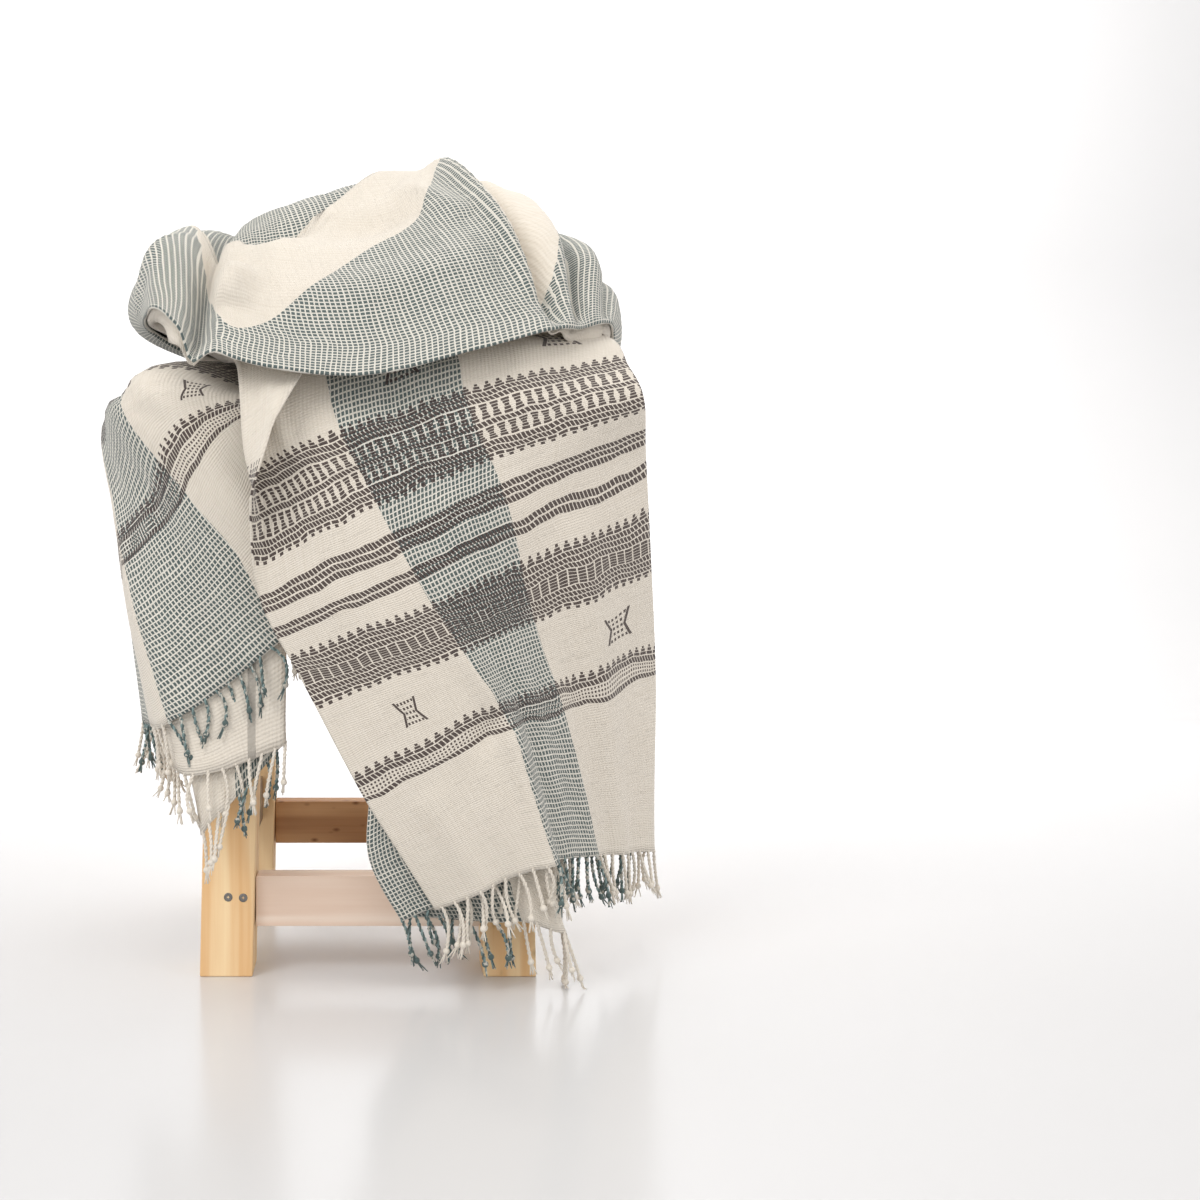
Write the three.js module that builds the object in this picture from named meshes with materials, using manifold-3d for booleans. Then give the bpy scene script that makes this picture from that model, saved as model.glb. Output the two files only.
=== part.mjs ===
// A handwoven wool throw lying over a small wooden stool: front drop, bundled top, left drop, knotted ends.
// Millimetres, +Z up, the front of the stool towards -Y. The origin is on the floor under the whole.
import * as THREE from "three";
import { mergeVertices } from "three/addons/utils/BufferGeometryUtils.js";
import Module from "manifold-3d";

// Stool
const SEAT_WIDTH = 400;
const SEAT_DEPTH = 286;
const SEAT_TOP = 465;
const SEAT_THICK = 22;
const SEAT_CORNER = 60; // radius of the seat's corners in plan
const LEG = 44;
const LEG_SPREAD_X = 262; // over the legs' outer faces at the seat
const LEG_SPREAD_Y = 280;
const LEG_SPLAY_DEG = 1.2; // each foot stands out by this lean, left and right
const RAIL_HIGH = 42;
const RAIL_THICK = 22;
const FRONT_RAIL_BOTTOM = 40;
const REAR_RAIL_BOTTOM = 58;
const SIDE_RAIL_BOTTOM = 86;
const RAIL_SETBACK = 9; // front rail behind the leg's front face
const SEAM = 0.3; // gap between pieces that touch

// Throw
const THICK = 2;
const LAYER_GAP = 6; // between the middles of neighbouring layers of the lengthwise fold
const GUIDE_SHARES = [0, 0.36, 0.64, 1]; // where the four guide points of a row lie across the top layer
const STEPS_BETWEEN_ROWS = 2;
const OUTER_STEPS = 16; // points across each layer
const MIDDLE_STEPS = 16;
const INNER_STEPS = 12;
const FOLD_ANGLES = [45, 90, 135]; // points round each lengthwise fold
const MARGIN_MIDDLE = 0.6; // where the margin has a point between its edge and its bend
const MARGIN_BEND = 6; // how much of the margin lies in its bend, at most

// Fringe
const STRAND_PITCH = 13;
const STRAND_LENGTH = 46;
const STRAND_RADIUS = 1.2;
const STRAND_STEPS = 2;
const STRIP_HIGH = 3;
const STRAND_SHARES = [0.86, 1, 0.93, 1.06, 0.9]; // uneven lengths, used in turn
const STRAND_CORNERS = [90, 210, 330];
const STRAND_DROOP = 0.3; // how much a strand bends down at each step
const FLOOR_LEAN = 0.35; // how much a strand on the floor leans to the front
const FLOOR_CLEAR = 1.3; // height of a strand's middle where it lies on the floor

// Colours and finish
const PINE = 0xe2ba88;
const PALE_PINE = 0xe8d0c2;
const BROWN_PINE = 0xbe9169;
const GREY_PINE = 0x968270;
const CREAM = 0xe2dace;
const YARN = 0xd8d0c2;
const WOOD_ROUGH = 0.6;
const WOOL_ROUGH = 0.95;

// Sampling
const SEAT_CURVE_STEPS = 6; // points round each corner of the seat
const SLOPE_STEP = 0.02; // how far apart two points are taken for a slope
const HEM_STEP = 0.05;
const WELD = 1e-3;

// One row for each section of the folded strip, from the front hem to the left hem.
// Each row: the top layer's near edge, the near and far sides of its first stripe, its lengthwise fold,
// then where the second fold and the hidden selvedge lie (shares of the width),
// how far these two hang below the top layer, and the width and turn of the margin outside the near edge.
const ROWS = [
  // near edge, stripe near, stripe far, fold, second fold, last edge, fold drop, edge drop, margin, turn
  [[65, -186, 72], [143, -186, 104], [192, -108, 94], [257, -40, 83], -0.16, 0.46, 0, 70, 12, 0],
  [[35, -189, 122], [126, -190, 165], [176, -124, 162], [255, -56, 170], -0.12, 0.56, 0, 56, 12, 0],
  [[5, -191, 171], [108, -192, 223], [156, -146, 232], [252, -72, 260], 0, 0.66, 0, 30, 12, 0],
  [[-42, -193, 257], [62, -195, 294], [130, -168, 321], [240, -106, 360], 0.14, 0.72, 0, 8, 12, 0],
  [[-74, -194, 315], [26, -197, 356], [112, -185, 392], [231, -130, 436], 0.2, 0.74, 0, 0, 12, 0],
  [[-85, -194, 390], [-6, -195, 418], [90, -190, 445], [224, -158, 478], 0.2, 0.74, 0, 0, 12, 70],
  [[-96, -192, 437], [-24, -192, 455], [78, -182, 482], [215, -140, 509], 0.2, 0.74, 0, 0, 24, 150],
  [[-104, -170, 503], [-41, -162, 511], [65, -142, 531], [198, -107, 540], 0.2, 0.74, 0, 0, 64, 176],
  [[-122, -132, 515], [-78, -98, 523], [12, -62, 537], [122, -12, 547], 0.2, 0.74, 0, 0, 40, 176],
  [[-148, -122, 530], [-130, -64, 529], [-80, 0, 531], [0, 75, 537], 0.2, 0.74, 0, 0, 18, 90],
  [[-182, -136, 543], [-198, -62, 563], [-192, 10, 574], [-164, 90, 562], 0.04, 0.7, 0, 0, 22, 70],
  [[-166, -170, 549], [-168, -92, 606], [-152, 0, 629], [-128, 108, 588], -0.08, 0.56, 0, 0, 10, 40],
  [[-105, -186, 528], [-108, -92, 622], [-98, 6, 654], [-82, 126, 580], -0.08, 0.46, 0, 0, 4, 0],
  [[-5, -190, 516], [0, -94, 626], [5, 2, 680], [15, 136, 580], -0.07, 0.52, 0, 0, 4, 0],
  [[85, -176, 542], [76, -86, 648], [66, 0, 695], [72, 128, 584], -0.05, 0.6, 0, 0, 4, 0],
  [[144, -146, 582], [126, -70, 650], [110, 8, 682], [114, 118, 578], -0.04, 0.66, 0, 0, 6, 30],
  [[176, -118, 584], [174, -44, 630], [158, 30, 646], [142, 114, 568], -0.04, 0.7, 0, 0, 16, 55],
  [[206, -104, 566], [212, -36, 592], [196, 38, 598], [168, 114, 570], -0.02, 0.72, 0, 0, 14, 40],
  [[198, -84, 524], [206, -14, 520], [192, 50, 514], [166, 116, 506], 0.1, 0.74, 0, 0, 6, 0],
  [[112, -100, 488], [112, -40, 488], [106, 40, 488], [100, 118, 488], 0.16, 0.74, 0, 0, 8, 0],
  [[18, -114, 479], [2, -54, 479], [-4, 26, 479], [0, 112, 479], 0.16, 0.74, 0, 0, 8, 0],
  [[-40, -122, 479], [-110, -80, 479], [-130, 0, 479], [-122, 92, 479], 0.16, 0.74, 0, 0, 8, 0],
  [[-84, -166, 482], [-200, -164, 480], [-224, -80, 478], [-218, 48, 480], 0.18, 0.7, 0, 0, 8, 0],
  [[-55, -168, 440], [-147, -170, 402], [-212, -114, 392], [-227, 12, 402], 0.24, 0.66, 20, 10, 8, 0],
  [[-20, -168, 405], [-104, -172, 349], [-188, -148, 306], [-218, -34, 310], 0.32, 0.62, 44, 20, 8, 0],
  [[19, -167, 366], [-72, -172, 281], [-158, -170, 216], [-198, -72, 205], 0.44, 0.7, 84, 40, 8, 0],
].map((row) => {
  const guides = row.slice(0, GUIDE_SHARES.length).map((p) => new THREE.Vector3(...p));
  const [secondFold, lastEdge, foldDrop, edgeDrop, margin, marginTurn] = row.slice(GUIDE_SHARES.length);
  return { guides, secondFold, lastEdge, foldDrop, edgeDrop, margin, marginTurn };
});

const wasm = await Module();
wasm.setup();

// Solids and booleans

function meshOf(name, geometry, colour, roughness) {
  const material = new THREE.MeshStandardMaterial({ color: colour, roughness, metalness: 0 });
  const mesh = new THREE.Mesh(geometry, material);
  mesh.name = name;
  return mesh;
}

function toSolid(geometry) {
  const bare = geometry.clone();
  bare.deleteAttribute("normal");
  bare.deleteAttribute("uv");
  const merged = mergeVertices(bare, WELD);
  return new wasm.Manifold(
    new wasm.Mesh({
      numProp: 3,
      vertProperties: new Float32Array(merged.attributes.position.array),
      triVerts: new Uint32Array(merged.index.array),
    }),
  );
}

function toGeometry(solid) {
  const { vertProperties, triVerts } = solid.getMesh();
  const geometry = new THREE.BufferGeometry();
  geometry.setAttribute("position", new THREE.BufferAttribute(new Float32Array(vertProperties), 3));
  geometry.setIndex(new THREE.BufferAttribute(new Uint32Array(triVerts), 1));
  return geometry;
}

// Smooth curve through four values, between the middle two.
function smooth(a, b, c, d, x) {
  const bend = 2 * a - 5 * b + 4 * c - d;
  const rise = 3 * (b - c) + d - a;
  return b + 0.5 * x * (c - a + x * (bend + x * rise));
}

// A named value of the table at a place between rows.
function along(v, read) {
  const last = ROWS.length - 1;
  const i = Math.min(Math.max(Math.floor(v), 0), last - 1);
  const row = (k) => read(ROWS[Math.min(Math.max(k, 0), last)]);
  return smooth(row(i - 1), row(i), row(i + 1), row(i + 2), v - i);
}

// A smooth curve through one value for each guide point, going straight on past both ends.
function across(values, share) {
  const last = GUIDE_SHARES.length - 1;
  const slope = (i) => (values[i + 1] - values[i]) / (GUIDE_SHARES[i + 1] - GUIDE_SHARES[i]);
  const lean = (i) => (i === 0 ? slope(0) : i === last ? slope(last - 1) : (slope(i - 1) + slope(i)) / 2);
  if (share <= 0) return values[0] + share * lean(0);
  if (share >= 1) return values[last] + (share - 1) * lean(last);
  const i = GUIDE_SHARES.findLastIndex((place) => place <= share);
  const span = GUIDE_SHARES[i + 1] - GUIDE_SHARES[i];
  const x = (share - GUIDE_SHARES[i]) / span;
  const ease = x * x * (3 - 2 * x);
  const bend = x * (1 - x) * span;
  return values[i] + ease * (values[i + 1] - values[i]) + bend * ((1 - x) * lean(i) - x * lean(i + 1));
}

// The top layer's middle surface.
function topLayer(v, share) {
  const axis = (name) => along(v, (row) => across(row.guides.map((p) => p[name]), share));
  return new THREE.Vector3(axis("x"), axis("y"), axis("z"));
}

function topNormal(v, share) {
  const side = topLayer(v, share + SLOPE_STEP).sub(topLayer(v, share - SLOPE_STEP));
  const up = topLayer(v + SLOPE_STEP, share).sub(topLayer(v - SLOPE_STEP, share));
  return side.cross(up).normalize();
}

// Which way the strip runs to its nearer hem.
function towardsHem(v, share) {
  const step = v < ROWS.length / 2 ? -HEM_STEP : HEM_STEP;
  const inside = Math.min(Math.max(v, HEM_STEP), ROWS.length - 1 - HEM_STEP);
  return topLayer(inside + step, share).sub(topLayer(inside, share)).normalize();
}

function steps(from, to, count) {
  return Array.from({ length: count + 1 }, (_, i) => from + ((to - from) * i) / count);
}

// The folded section at one place along the strip, as points from the top layer's selvedge to the hidden one.
// Each point has its share of the width, its depth below the top layer and how far it hangs towards the hem.
function section(v) {
  const width = topLayer(v, 0).distanceTo(topLayer(v, 1));
  const radius = LAYER_GAP / 2;
  const margin = along(v, (row) => row.margin);
  const marginTurn = THREE.MathUtils.degToRad(along(v, (row) => row.marginTurn));
  const second = along(v, (row) => row.secondFold);
  const last = along(v, (row) => row.lastEdge);
  const foldDrop = along(v, (row) => row.foldDrop);
  const edgeDrop = along(v, (row) => row.edgeDrop);
  const points = [];
  const put = (share, depth, drop) => points.push({ share, depth, drop });

  // The margin lies flat outside the near edge, or is turned over onto the top layer.
  const putMargin = (far, turn) => {
    const out = radius * Math.sin(turn) + far * Math.cos(turn);
    put(-out / width, -radius * (1 - Math.cos(turn)) - far * Math.sin(turn), 0);
  };
  putMargin(margin, marginTurn);
  putMargin(MARGIN_MIDDLE * margin, marginTurn);
  putMargin(Math.min(MARGIN_BEND, MARGIN_MIDDLE * margin) / 2, marginTurn);
  putMargin(Math.min(MARGIN_BEND, MARGIN_MIDDLE * margin) / 4, marginTurn / 2);
  steps(0, 1, OUTER_STEPS).forEach((share) => put(share, 0, 0));
  FOLD_ANGLES.forEach((deg) => {
    const turn = THREE.MathUtils.degToRad(deg);
    put(1 + (radius / width) * Math.sin(turn), radius * (1 - Math.cos(turn)), 0);
  });
  steps(1, second, MIDDLE_STEPS).forEach((share, i) =>
    put(share, LAYER_GAP, (foldDrop * i) / MIDDLE_STEPS));
  FOLD_ANGLES.forEach((deg) => {
    const turn = THREE.MathUtils.degToRad(deg);
    put(second - (radius / width) * Math.sin(turn), LAYER_GAP + radius * (1 - Math.cos(turn)), foldDrop);
  });
  steps(second, last, INNER_STEPS).forEach((share, i) =>
    put(share, 2 * LAYER_GAP, foldDrop + (edgeDrop * i) / INNER_STEPS));

  return points.map(({ share, depth, drop }) => {
    const place = topLayer(v, share).addScaledVector(topNormal(v, share), -depth);
    return place.addScaledVector(towardsHem(v, share), drop);
  });
}

// Normals of a grid of points, from its neighbours.
function gridNormals(grid) {
  const last = grid.length - 1;
  return grid.map((row, i) =>
    row.map((_, j) => {
      const side = row[Math.min(j + 1, row.length - 1)].clone().sub(row[Math.max(j - 1, 0)]);
      const up = grid[Math.min(i + 1, last)][j].clone().sub(grid[Math.max(i - 1, 0)][j]);
      return side.cross(up).normalize();
    }),
  );
}

// A closed sheet of even thickness on a grid of points.
function sheet(grid, thick) {
  const normals = gridNormals(grid);
  const rows = grid.length;
  const columns = grid[0].length;
  const positions = [];
  [thick / 2, -thick / 2].forEach((offset) =>
    grid.forEach((row, i) =>
      row.forEach((p, j) => positions.push(...p.clone().addScaledVector(normals[i][j], offset).toArray())),
    ),
  );
  const at = (side, i, j) => side * rows * columns + i * columns + j;
  const index = [];
  const quad = (a, b, c, d) => index.push(a, b, c, a, c, d);
  for (let i = 0; i < rows - 1; i++) {
    for (let j = 0; j < columns - 1; j++) {
      quad(at(0, i, j), at(0, i, j + 1), at(0, i + 1, j + 1), at(0, i + 1, j));
      quad(at(1, i, j), at(1, i + 1, j), at(1, i + 1, j + 1), at(1, i, j + 1));
    }
    quad(at(0, i, 0), at(0, i + 1, 0), at(1, i + 1, 0), at(1, i, 0));
    const end = columns - 1;
    quad(at(0, i, end), at(1, i, end), at(1, i + 1, end), at(0, i + 1, end));
  }
  for (let j = 0; j < columns - 1; j++) {
    const end = rows - 1;
    quad(at(0, 0, j), at(1, 0, j), at(1, 0, j + 1), at(0, 0, j + 1));
    quad(at(0, end, j), at(0, end, j + 1), at(1, end, j + 1), at(1, end, j));
  }
  const geometry = new THREE.BufferGeometry();
  geometry.setAttribute("position", new THREE.Float32BufferAttribute(positions, 3));
  geometry.setIndex(index);
  return geometry;
}

function throwGrid() {
  const count = (ROWS.length - 1) * STEPS_BETWEEN_ROWS;
  return steps(0, ROWS.length - 1, count).map((v) => section(v));
}

// Points a set distance apart along a hem, each with the way its strand leaves the cloth.
function hemPlaces(edge, inner, pitch) {
  const places = [];
  let walked = pitch / 2;
  for (let j = 0; j < edge.length - 1; j++) {
    const length = edge[j].distanceTo(edge[j + 1]);
    while (walked < length) {
      const share = walked / length;
      const root = edge[j].clone().lerp(edge[j + 1], share);
      const behind = inner[j].clone().lerp(inner[j + 1], share);
      places.push({ root, way: root.clone().sub(behind).normalize() });
      walked += pitch;
    }
    walked -= length;
  }
  return places;
}

// A strand of three sides: along its own way, bending down, and level once it meets the floor.
function strand({ root, way }, index) {
  const step = (STRAND_LENGTH * STRAND_SHARES[index % STRAND_SHARES.length]) / STRAND_STEPS;
  const path = [root.clone()];
  const heading = way.clone();
  for (let i = 0; i < STRAND_STEPS; i++) {
    const next = path[i].clone().addScaledVector(heading, step);
    if (next.z < FLOOR_CLEAR) {
      const level = new THREE.Vector3(heading.x, heading.y - FLOOR_LEAN, 0).normalize();
      const fall = path[i].z - FLOOR_CLEAR;
      const run = Math.sqrt(Math.max(step * step - fall * fall, 0));
      next.copy(path[i]).addScaledVector(level, run);
      next.z = FLOOR_CLEAR;
    }
    path.push(next);
    heading.z -= STRAND_DROOP;
    heading.normalize();
  }
  return path;
}

// A closed prism along a path, with a corner of its section for each strand corner.
function prismAlong(path, side, radius) {
  const positions = [];
  const index = [];
  const sides = STRAND_CORNERS.length;
  const last = path.length - 1;
  path.forEach((p, i) => {
    const ahead = path[Math.min(i + 1, last)].clone().sub(path[Math.max(i - 1, 0)]).normalize();
    const level = side.clone().addScaledVector(ahead, -side.dot(ahead)).normalize();
    const out = ahead.clone().cross(level);
    STRAND_CORNERS.forEach((deg) => {
      const turn = THREE.MathUtils.degToRad(deg);
      const corner = p.clone().addScaledVector(level, radius * Math.cos(turn));
      positions.push(...corner.addScaledVector(out, radius * Math.sin(turn)).toArray());
    });
  });
  for (let i = 0; i < last; i++) {
    for (let k = 0; k < sides; k++) {
      const a = sides * i + k;
      const b = sides * i + ((k + 1) % sides);
      index.push(a, b, b + sides, a, b + sides, a + sides);
    }
  }
  const end = sides * last;
  index.push(0, 2, 1, end, end + 1, end + 2);
  const geometry = new THREE.BufferGeometry();
  geometry.setAttribute("position", new THREE.Float32BufferAttribute(positions, 3));
  geometry.setIndex(index);
  return geometry;
}

// The hem's own direction next to a point.
function hemDirection(edge, point) {
  const distances = edge.map((p) => p.distanceTo(point));
  const near = distances.indexOf(Math.min(...distances));
  const ahead = edge[Math.min(near + 1, edge.length - 1)].clone();
  return ahead.sub(edge[Math.max(near - 1, 0)]).normalize();
}

// A narrow strip just off the hem with its strands.
function fringe(edge, inner) {
  const ways = edge.map((p, j) => p.clone().sub(inner[j]).normalize());
  const lineAt = (far) => edge.map((p, j) => p.clone().addScaledVector(ways[j], far));
  const upper = lineAt(SEAM);
  const lower = lineAt(SEAM + STRIP_HIGH);
  const strip = toSolid(sheet([lower, upper], THICK));
  const strands = hemPlaces(lower, edge, STRAND_PITCH).map((place, i) => {
    place.root.addScaledVector(place.way, -STRIP_HIGH / 2);
    return toSolid(prismAlong(strand(place, i), hemDirection(edge, place.root), STRAND_RADIUS));
  });
  return toGeometry(strands.reduce((all, piece) => all.add(piece), strip));
}

// Stool pieces

function board(name, size, centre, colour) {
  const mesh = meshOf(name, new THREE.BoxGeometry(...size), colour, WOOD_ROUGH);
  mesh.position.set(...centre);
  return mesh;
}

// The seat board with rounded corners.
function seat() {
  const x = SEAT_WIDTH / 2 - SEAT_CORNER;
  const y = SEAT_DEPTH / 2 - SEAT_CORNER;
  const outline = new THREE.Shape();
  outline.absarc(x, -y, SEAT_CORNER, -Math.PI / 2, 0);
  outline.absarc(x, y, SEAT_CORNER, 0, Math.PI / 2);
  outline.absarc(-x, y, SEAT_CORNER, Math.PI / 2, Math.PI);
  outline.absarc(-x, -y, SEAT_CORNER, Math.PI, 1.5 * Math.PI);
  const settings = { depth: SEAT_THICK, bevelEnabled: false, curveSegments: SEAT_CURVE_STEPS };
  const mesh = meshOf("seat", new THREE.ExtrudeGeometry(outline, settings), PINE, WOOD_ROUGH);
  mesh.position.z = SEAT_TOP - SEAT_THICK;
  return mesh;
}

// A square leg with level ends, leaning out to its foot.
function leg(name, sideX, sideY) {
  const high = SEAT_TOP - SEAT_THICK - SEAM;
  const lean = high * Math.tan(THREE.MathUtils.degToRad(LEG_SPLAY_DEG));
  const geometry = new THREE.BoxGeometry(LEG, LEG, high);
  const position = geometry.attributes.position;
  for (let i = 0; i < position.count; i++) {
    if (position.getZ(i) < 0) position.setX(i, position.getX(i) + sideX * lean);
  }
  const mesh = meshOf(name, geometry, PINE, WOOD_ROUGH);
  mesh.position.set(sideX * (LEG_SPREAD_X - LEG) / 2, sideY * (LEG_SPREAD_Y - LEG) / 2, high / 2);
  return mesh;
}

// How far out the legs' inner faces stand at a height.
function legInner(height) {
  const high = SEAT_TOP - SEAT_THICK - SEAM;
  const lean = (high - height) * Math.tan(THREE.MathUtils.degToRad(LEG_SPLAY_DEG));
  return LEG_SPREAD_X / 2 - LEG + lean;
}

function crossRail(name, bottom, y, colour) {
  const top = bottom + RAIL_HIGH;
  const half = legInner(top) - SEAM;
  return board(name, [2 * half, RAIL_THICK, RAIL_HIGH], [0, y, bottom + RAIL_HIGH / 2], colour);
}

function sideRail(name, side, colour) {
  const length = LEG_SPREAD_Y - 2 * LEG - 2 * SEAM;
  const x = side * (legInner(SIDE_RAIL_BOTTOM) + LEG / 2);
  return board(name, [RAIL_THICK, length, RAIL_HIGH], [x, 0, SIDE_RAIL_BOTTOM + RAIL_HIGH / 2], colour);
}

function stool() {
  const railY = LEG_SPREAD_Y / 2 - RAIL_SETBACK - RAIL_THICK / 2;
  const group = new THREE.Group();
  group.add(
    seat(),
    leg("leg_front_left", -1, -1),
    leg("leg_front_right", 1, -1),
    leg("leg_rear_left", -1, 1),
    leg("leg_rear_right", 1, 1),
    crossRail("rail_front", FRONT_RAIL_BOTTOM, -railY, PALE_PINE),
    crossRail("rail_rear", REAR_RAIL_BOTTOM, railY, BROWN_PINE),
    sideRail("rail_left", -1, GREY_PINE),
    sideRail("rail_right", 1, GREY_PINE),
  );
  return group;
}

function blanket() {
  const grid = throwGrid();
  const last = grid.length - 1;
  const leftHem = [...grid[last]].reverse();
  const leftInner = [...grid[last - 1]].reverse();
  const group = new THREE.Group();
  group.add(
    meshOf("throw", sheet(grid, THICK), CREAM, WOOL_ROUGH),
    meshOf("fringe_front", fringe(grid[0], grid[1]), YARN, WOOL_ROUGH),
    meshOf("fringe_left", fringe(leftHem, leftInner), YARN, WOOL_ROUGH),
  );
  return group;
}

const whole = new THREE.Group();
whole.add(stool(), blanket());
const box = new THREE.Box3().setFromObject(whole);
const middle = box.getCenter(new THREE.Vector3());
whole.position.set(-middle.x, -middle.y, 0);

const part = new THREE.Group();
part.add(whole);

export default part;
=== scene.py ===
import math

import bpy
import numpy as np
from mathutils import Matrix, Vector


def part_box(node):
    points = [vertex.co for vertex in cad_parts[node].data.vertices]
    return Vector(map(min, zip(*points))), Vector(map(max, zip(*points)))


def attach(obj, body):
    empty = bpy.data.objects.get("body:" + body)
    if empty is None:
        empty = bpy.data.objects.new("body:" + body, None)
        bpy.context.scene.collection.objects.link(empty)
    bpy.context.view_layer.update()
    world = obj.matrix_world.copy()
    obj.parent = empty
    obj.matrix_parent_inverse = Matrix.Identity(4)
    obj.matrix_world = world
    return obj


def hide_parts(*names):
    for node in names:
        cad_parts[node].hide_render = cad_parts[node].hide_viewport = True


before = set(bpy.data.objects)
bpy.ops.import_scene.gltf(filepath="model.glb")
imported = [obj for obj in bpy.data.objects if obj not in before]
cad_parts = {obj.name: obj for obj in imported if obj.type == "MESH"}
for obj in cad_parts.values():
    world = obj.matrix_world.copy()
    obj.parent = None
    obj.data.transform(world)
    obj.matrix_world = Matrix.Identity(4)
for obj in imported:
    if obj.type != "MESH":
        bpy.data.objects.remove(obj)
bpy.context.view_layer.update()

MM = 0.001

# Where the stool's own middle lies in the frame
seat_low, seat_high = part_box("seat")
STOOL_MIDDLE = np.array([(seat_low.x + seat_high.x) / 2, (seat_low.y + seat_high.y) / 2, 0.0])

# Photo framing, from the photo's 1200 pixel frame
PHOTO_SIDE = 1200
STOOL_MIDDLE_PX = 368
HORIZON_PX = 545
FOCAL_PX = 1380
CAMERA_BACK = 1.290  # metres in front of the stool's middle
CAMERA_HIGH = 0.360
SENSOR = 36.0

# The cloth, in millimetres
CLOTH_WIDE = 850
CLOTH_LONG = 1760
CLOTH_THICK = 1.7
STRIPES = [(125, 225), (375, 475), (625, 725)]
LAYER_GAP = 6
FOLD_RADIUS = LAYER_GAP / 2
HALF_TURN = FOLD_RADIUS * math.pi / 2
MARGIN_BEND = 6
GUIDE_SHARES = np.array([0, 0.36, 0.64, 1])

# How finely the cloth is drawn: steps from row to row, and across each layer
ROW_STEPS = 8
BUNDLE_STEPS = 14
BUNDLE_ROWS = (10, 18)
MARGIN_STEPS = 4
OUTER_STEPS = 64
MIDDLE_STEPS = 34
INNER_STEPS = 44
HIDDEN_COLUMNS = np.array([0, 6])  # how far before each fold the count of threads starts again
FOLD_ANGLES = np.radians([30, 60, 90, 120, 150])

# One row for each section of the folded strip, from the front hem to the left hem:
# the top layer's near edge, the near and far sides of its first stripe and its lengthwise fold,
# then the columns named below. Folds and edges are shares of the width, drops, margin and
# length are in millimetres, the margin's turn is in degrees, and fold_at is a place across the cloth.
ROWS = [
    ([65, -186, 72], [143, -186, 104], [192, -108, 94], [257, -40, 83],
     -0.16, 0.46, 0, 70, 12, 0, 0, 350),
    ([35, -189, 122], [126, -190, 165], [176, -124, 162], [255, -56, 170],
     -0.12, 0.56, 0, 56, 12, 0, 66, 350),
    ([5, -191, 171], [108, -192, 223], [156, -146, 232], [252, -72, 260],
     0, 0.66, 0, 30, 12, 0, 131, 350),
    ([-42, -193, 257], [62, -195, 294], [130, -168, 321], [240, -106, 360],
     0.14, 0.72, 0, 8, 12, 0, 230, 350),
    ([-74, -194, 315], [26, -197, 356], [112, -185, 392], [231, -130, 436],
     0.2, 0.74, 0, 0, 12, 0, 305, 350),
    ([-85, -194, 390], [-6, -195, 418], [90, -190, 445], [224, -158, 478],
     0.2, 0.74, 0, 0, 20, 70, 375, 350),
    ([-96, -192, 437], [-24, -192, 455], [78, -182, 482], [215, -140, 509],
     0.2, 0.74, 0, 0, 52, 150, 415, 350),
    ([-104, -170, 503], [-41, -162, 511], [65, -142, 531], [198, -107, 540],
     0.2, 0.74, 0, 0, 112, 176, 470, 350),
    ([-122, -132, 515], [-78, -98, 523], [12, -62, 537], [122, -12, 547],
     0.2, 0.74, 0, 0, 92, 176, 560, 350),
    ([-148, -122, 530], [-130, -64, 529], [-80, 0, 531], [0, 75, 537],
     0.2, 0.74, 0, 0, 18, 90, 640, 350),
    ([-182, -136, 543], [-198, -62, 563], [-192, 10, 574], [-164, 90, 562],
     0.06, 0.7, 0, 0, 34, 84, 720, 350),
    ([-166, -170, 549], [-168, -92, 606], [-152, 0, 629], [-128, 108, 588],
     -0.03, 0.56, 0, 0, 26, 76, 790, 350),
    ([-105, -186, 528], [-108, -92, 622], [-98, 6, 654], [-82, 126, 580],
     -0.08, 0.3, 0, 0, 4, 0, 855, 350),
    ([-5, -190, 516], [0, -94, 626], [5, 2, 680], [15, 136, 580],
     -0.07, 0.56, 0, 0, 4, 0, 950, 350),
    ([85, -178, 533], [76, -86, 648], [66, 0, 695], [72, 128, 584],
     -0.05, 0.74, 0, 0, 4, 0, 1030, 350),
    ([146, -152, 548], [126, -70, 646], [110, 8, 682], [114, 118, 578],
     -0.04, 0.72, 0, 0, 6, 30, 1085, 350),
    ([178, -126, 550], [174, -44, 624], [158, 30, 646], [142, 114, 568],
     -0.04, 0.7, 0, 0, 16, 55, 1135, 350),
    ([206, -106, 550], [210, -36, 586], [196, 38, 598], [168, 114, 570],
     -0.02, 0.72, 0, 0, 14, 40, 1185, 350),
    ([198, -84, 524], [206, -14, 520], [192, 50, 514], [166, 116, 506],
     0.1, 0.74, 0, 0, 6, 0, 1245, 350),
    ([112, -100, 488], [112, -40, 488], [106, 40, 488], [100, 118, 488],
     0.16, 0.74, 0, 0, 8, 0, 1325, 350),
    ([18, -114, 479], [2, -54, 479], [-4, 26, 479], [0, 112, 479],
     0.16, 0.74, 0, 0, 8, 0, 1410, 350),
    ([-40, -122, 479], [-110, -80, 479], [-130, 0, 479], [-122, 92, 479],
     0.16, 0.74, 0, 0, 8, 0, 1480, 380),
    ([-84, -166, 482], [-200, -164, 480], [-224, -80, 478], [-218, 48, 480],
     0.18, 0.7, 0, 0, 8, 0, 1560, 440),
    ([-55, -168, 440], [-147, -170, 402], [-212, -114, 392], [-227, 12, 402],
     0.24, 0.66, 20, 10, 8, 0, 1642, 478),
    ([-20, -168, 405], [-104, -172, 349], [-188, -148, 306], [-218, -34, 310],
     0.32, 0.62, 38, 12, 8, 0, 1702, 478),
    ([19, -167, 366], [-72, -172, 281], [-158, -170, 216], [-198, -72, 205],
     0.44, 0.7, 70, 22, 8, 0, 1760, 478),
]
GUIDES = np.array([row[:4] for row in ROWS], float)
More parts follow.
